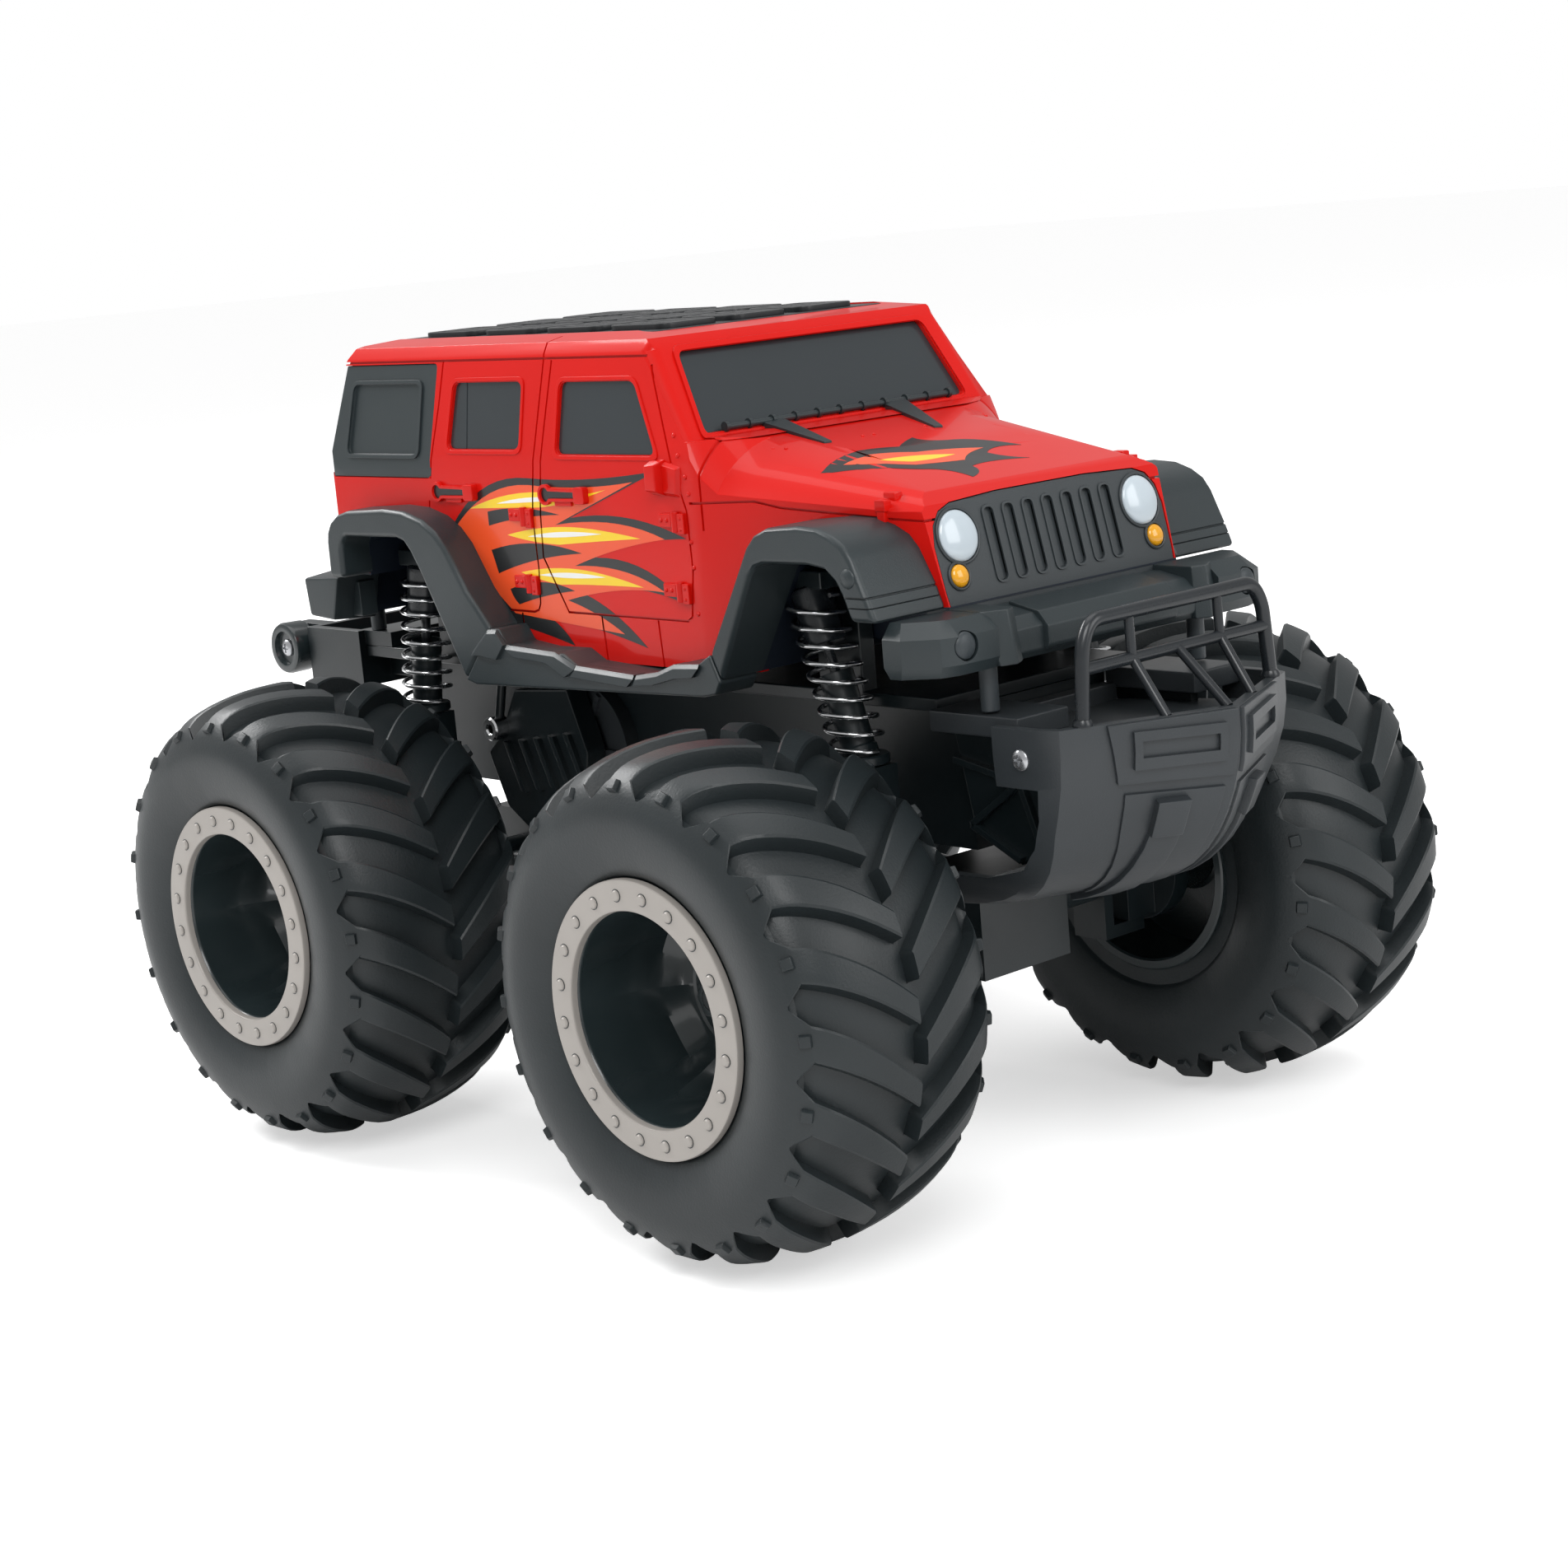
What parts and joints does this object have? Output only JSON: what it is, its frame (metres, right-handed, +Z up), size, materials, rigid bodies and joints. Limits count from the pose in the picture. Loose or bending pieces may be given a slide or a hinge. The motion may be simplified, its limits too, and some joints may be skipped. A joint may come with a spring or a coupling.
{
  "type": "remote control car",
  "caption": "Toy monster truck with boxy off-road body, sprung axles, steered front wheels, oversized tractor-tread tyres, tubular front bar and rear rollers.",
  "frame": {"origin": "on the ground under the middle of the car's overall length and width", "axes": "+X to the front of the car, +Y to its left side, +Z up"},
  "size_m": [0.312, 0.208, 0.1945],
  "materials": {
    "red_body": "glossy moulded red plastic",
    "black_trim": "fine textured dark grey plastic",
    "dark_glass": "dark grey moulded window panel",
    "roof_black": "satin black plastic",
    "lens_clear": "pearly headlight lens",
    "lens_amber": "amber lamp lens",
    "chassis_black": "satin black chassis plastic",
    "guard_grey": "satin dark grey plastic",
    "battery_wrap": "blue shrink wrap",
    "switch_grey": "light grey plastic",
    "steel": "bright plated steel",
    "tyre_rubber": "soft black rubber",
    "rim_black": "satin black plastic rim",
    "ring_beige": "warm silver grey satin",
    "rod_grey": "dark grey moulded plastic"
  },
  "bodies": {
    "car": {"body_shell": "red_body", "roof_panel": "roof_black", "windshield": "dark_glass", "side_windows": "dark_glass", "quarter_panels": "dark_glass", "grille_panel": "black_trim", "headlight_lenses": "lens_clear", "turn_lenses": "lens_amber", "door_handles": "red_body", "door_hinges": "red_body", "hood_latches": "red_body", "wipers": "black_trim", "fender_trim_right": "black_trim", "fender_trim_left": "black_trim", "front_bumper": "black_trim", "fog_lamps": "black_trim", "rear_bumper": "black_trim", "body_floor": "chassis_black", "body_posts": "rod_grey", "chassis_tub": "chassis_black", "chassis_deck": "chassis_black", "gear_case_cover": "chassis_black", "battery_pack": "battery_wrap", "front_guard": "guard_grey", "bull_bar": "guard_grey", "frame_screws": "steel", "rear_frame": "chassis_black", "shock_rods_front": "steel", "shock_rods_rear": "steel", "spring_front_right": "steel", "spring_front_left": "steel", "spring_rear_right": "steel", "spring_rear_left": "steel"},
    "battery_door": {"battery_door": "chassis_black"},
    "power_switch": {"power_switch": "switch_grey"},
    "roller_right": {"roller_right": "chassis_black"},
    "roller_left": {"roller_left": "chassis_black"},
    "front_axle": {"front_axle": "chassis_black", "shock_tubes_front": "chassis_black"},
    "rear_axle": {"rear_axle": "chassis_black", "shock_tubes_rear": "chassis_black"},
    "knuckle_right": {"knuckle_right": "chassis_black"},
    "knuckle_left": {"knuckle_left": "chassis_black"},
    "tie_rod": {"tie_rod": "rod_grey"},
    "wheel_front_right": {"tyre_front_right": "tyre_rubber", "rim_front_right": "rim_black", "clamp_ring_front_right": "ring_beige", "wheel_nut_front_right": "rim_black"},
    "wheel_front_left": {"tyre_front_left": "tyre_rubber", "rim_front_left": "rim_black", "clamp_ring_front_left": "ring_beige", "wheel_nut_front_left": "rim_black"},
    "wheel_rear_right": {"tyre_rear_right": "tyre_rubber", "rim_rear_right": "rim_black", "clamp_ring_rear_right": "ring_beige", "wheel_nut_rear_right": "rim_black"},
    "wheel_rear_left": {"tyre_rear_left": "tyre_rubber", "rim_rear_left": "rim_black", "clamp_ring_rear_left": "ring_beige", "wheel_nut_rear_left": "rim_black"}
  },
  "joints": [
    {"name": "front_axle_travel", "type": "slide", "parent": "car", "child": "front_axle", "axis": [0, 0, 1], "range_m": [0, 0.006], "stiffness_N_per_m": 1200, "springref_m": -0.004, "deforming": ["spring_front_right", "spring_front_left"]},
    {"name": "rear_axle_travel", "type": "slide", "parent": "car", "child": "rear_axle", "axis": [0, 0, 1], "range_m": [0, 0.006], "stiffness_N_per_m": 1200, "springref_m": -0.004, "deforming": ["spring_rear_right", "spring_rear_left"]},
    {"name": "steer_left", "type": "hinge", "parent": "front_axle", "child": "knuckle_left", "pos_m": [0.07865, 0.044, 0.0567], "axis": [0, 0, 1], "range_deg": [-15, 15]},
    {"name": "steer_right", "type": "hinge", "parent": "front_axle", "child": "knuckle_right", "pos_m": [0.07865, -0.044, 0.0567], "axis": [0, 0, 1], "range_deg": [-15, 15]},
    {"name": "tie_rod_shift", "type": "slide", "parent": "front_axle", "child": "tie_rod", "axis": [0, 1, 0], "range_m": [-0.0045, 0.0045]},
    {"name": "spin_front_right", "type": "hinge", "parent": "knuckle_right", "child": "wheel_front_right", "pos_m": [0.07865, -0.0765, 0.0567], "axis": [0, 1, 0], "continuous": true},
    {"name": "spin_front_left", "type": "hinge", "parent": "knuckle_left", "child": "wheel_front_left", "pos_m": [0.07865, 0.0765, 0.0567], "axis": [0, 1, 0], "continuous": true},
    {"name": "spin_rear_right", "type": "hinge", "parent": "rear_axle", "child": "wheel_rear_right", "pos_m": [-0.07865, -0.0765, 0.0567], "axis": [0, 1, 0], "continuous": true},
    {"name": "spin_rear_left", "type": "hinge", "parent": "rear_axle", "child": "wheel_rear_left", "pos_m": [-0.07865, 0.0765, 0.0567], "axis": [0, 1, 0], "continuous": true},
    {"name": "roller_spin_right", "type": "hinge", "parent": "car", "child": "roller_right", "pos_m": [-0.149, -0.0325, 0.111], "axis": [0, 1, 0], "continuous": true},
    {"name": "roller_spin_left", "type": "hinge", "parent": "car", "child": "roller_left", "pos_m": [-0.149, 0.0325, 0.111], "axis": [0, 1, 0], "continuous": true},
    {"name": "battery_door_hinge", "type": "hinge", "parent": "car", "child": "battery_door", "pos_m": [-0.0242, 0, 0.0713], "axis": [0, 1, 0], "range_deg": [0, 95]},
    {"name": "switch_slide", "type": "slide", "parent": "car", "child": "power_switch", "axis": [1, 0, 0], "range_m": [-0.002, 0.002]}
  ],
  "couplings": [
    {"joint": "steer_right", "follows": "steer_left", "ratio": 1},
    {"joint": "tie_rod_shift", "follows": "steer_left", "m_per_rad": -0.016}
  ]
}
